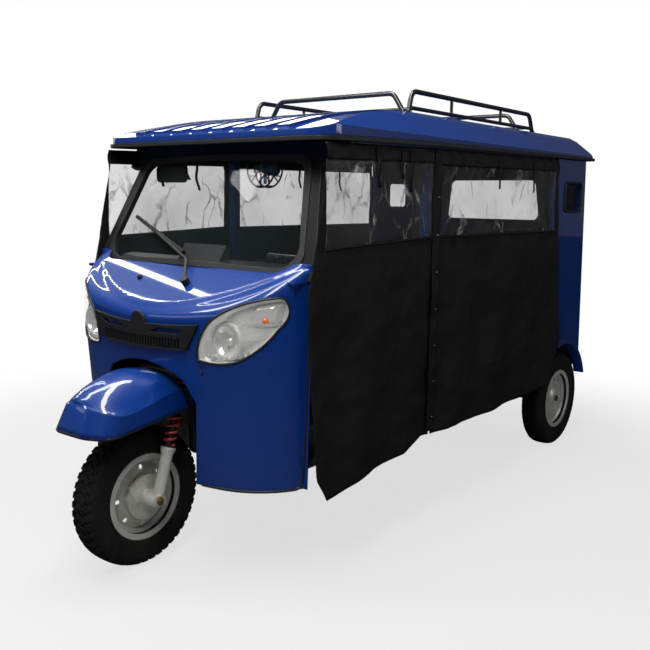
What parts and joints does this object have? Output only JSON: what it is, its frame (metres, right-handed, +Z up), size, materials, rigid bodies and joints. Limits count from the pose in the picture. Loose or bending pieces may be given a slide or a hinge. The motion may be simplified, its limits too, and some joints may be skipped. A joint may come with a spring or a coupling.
{
  "type": "auto rickshaw",
  "caption": "Three-wheeled passenger vehicle with a steered front fork, closed cab, side curtains with clear panes, ribbed roof and tubular roof rack.",
  "frame": {"origin": "on the ground, at the middle of the vehicle's length and width", "axes": "+Z up, the vehicle faces -Y, +X is its left side"},
  "size_m": [1.268, 3.2253, 1.889],
  "materials": {
    "blue_paint": "gloss enamel",
    "black_paint": "gloss enamel",
    "silver_paint": "satin",
    "red_paint": "gloss enamel",
    "zinc_steel": "zinc plated",
    "steel": "matt",
    "tyre_rubber": "matt",
    "seal_rubber": "matt",
    "dark_plastic": "satin",
    "fan_plastic": "gloss",
    "clear_glass": "polished",
    "lamp_glass": "polished",
    "lamp_bowl": "bright",
    "tail_lens": "gloss",
    "clear_sheet": "gloss",
    "curtain_cloth": "coated cloth",
    "seat_vinyl": "vinyl"
  },
  "bodies": {
    "chassis": {"chassis_frame": "black_paint", "floor_pan": "black_paint", "engine_block": "steel", "front_shell": "blue_paint", "headlamp_bowls": "lamp_bowl", "headlamp_lenses": "lamp_glass", "grille": "dark_plastic", "screen_frame": "black_paint", "screen_seal": "seal_rubber", "screen_glass": "clear_glass", "wiper": "dark_plastic", "roof_panel": "blue_paint", "roof_trim": "seal_rubber", "roof_rack": "black_paint", "side_posts": "blue_paint", "rear_quarter_left": "blue_paint", "rear_quarter_right": "blue_paint", "rear_wall": "blue_paint", "fixed_glass": "clear_glass", "tail_lamps": "tail_lens", "rear_bumper": "black_paint", "wheel_housings": "black_paint", "rear_axle": "steel", "leaf_springs": "steel", "prop_shaft": "steel", "muffler": "steel", "seat_boxes": "black_paint", "driver_seat": "seat_vinyl", "driver_backrest": "seat_vinyl", "front_bench": "seat_vinyl", "front_bench_back": "seat_vinyl", "rear_bench": "seat_vinyl", "rear_bench_back": "seat_vinyl", "curtain_left": "curtain_cloth", "curtain_right": "curtain_cloth", "curtain_panes": "clear_sheet", "dashboard": "dark_plastic", "cab_mirror": "dark_plastic", "fan_guard": "fan_plastic"},
    "fork": {"fork_legs": "silver_paint", "fork_springs": "red_paint", "fork_yoke": "black_paint", "front_axle": "zinc_steel", "brake_plate": "silver_paint", "front_mudguard": "blue_paint", "handlebar": "black_paint"},
    "front_wheel": {"front_tyre": "tyre_rubber", "front_rim": "silver_paint"},
    "rear_wheel_left": {"rear_left_tyre": "tyre_rubber", "rear_left_rim": "silver_paint"},
    "rear_wheel_right": {"rear_right_tyre": "tyre_rubber", "rear_right_rim": "silver_paint"},
    "fan_rotor": {"fan_blades": "fan_plastic"}
  },
  "joints": [
    {"name": "steering", "type": "hinge", "parent": "chassis", "child": "fork", "pos_m": [0, -1.252, 0.272], "axis": [0, 0.2756, 0.9613], "range_deg": [-35, 35]},
    {"name": "front_wheel_spin", "type": "hinge", "parent": "fork", "child": "front_wheel", "pos_m": [0, -1.297, 0.272], "axis": [1, 0, 0], "continuous": true},
    {"name": "rear_left_spin", "type": "hinge", "parent": "chassis", "child": "rear_wheel_left", "pos_m": [0.556, 1.297, 0.272], "axis": [1, 0, 0], "continuous": true},
    {"name": "rear_right_spin", "type": "hinge", "parent": "chassis", "child": "rear_wheel_right", "pos_m": [-0.556, 1.297, 0.272], "axis": [1, 0, 0], "continuous": true},
    {"name": "fan_spin", "type": "hinge", "parent": "chassis", "child": "fan_rotor", "pos_m": [0.18, -0.748, 1.524], "axis": [0, 1, 0], "continuous": true}
  ]
}
